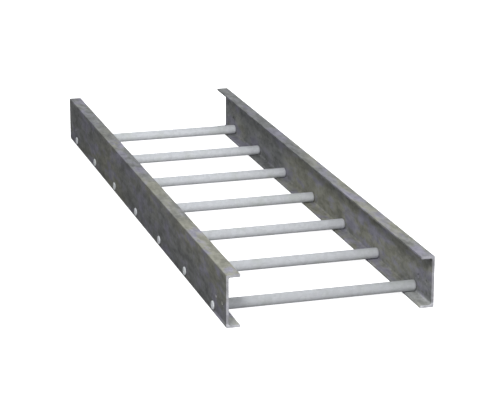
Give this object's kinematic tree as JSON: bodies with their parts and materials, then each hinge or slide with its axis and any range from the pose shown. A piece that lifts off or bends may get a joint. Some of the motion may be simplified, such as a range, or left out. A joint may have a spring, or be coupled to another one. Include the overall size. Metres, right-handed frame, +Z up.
{
  "type": "cable ladder section",
  "caption": "Straight cable ladder section: two C-shaped side rails joined by round tube rungs set through the rail webs.",
  "frame": {"origin": "middle of the underside, halfway along and across the ladder", "axes": "+X across the ladder along its rungs, +Y along the side rails, +Z up, square to the rungs' plane"},
  "size_m": [0.61, 2.05, 0.15],
  "materials": {
    "rail_zinc": "dull hot-dip galvanised steel, faintly mottled",
    "rung_zinc": "bright galvanised steel tube, satin"
  },
  "bodies": {
    "root": {"side_rail_left": "rail_zinc", "side_rail_right": "rail_zinc", "rung_1": "rung_zinc", "rung_2": "rung_zinc", "rung_3": "rung_zinc", "rung_4": "rung_zinc", "rung_5": "rung_zinc", "rung_6": "rung_zinc", "rung_7": "rung_zinc"}
  },
  "joints": []
}
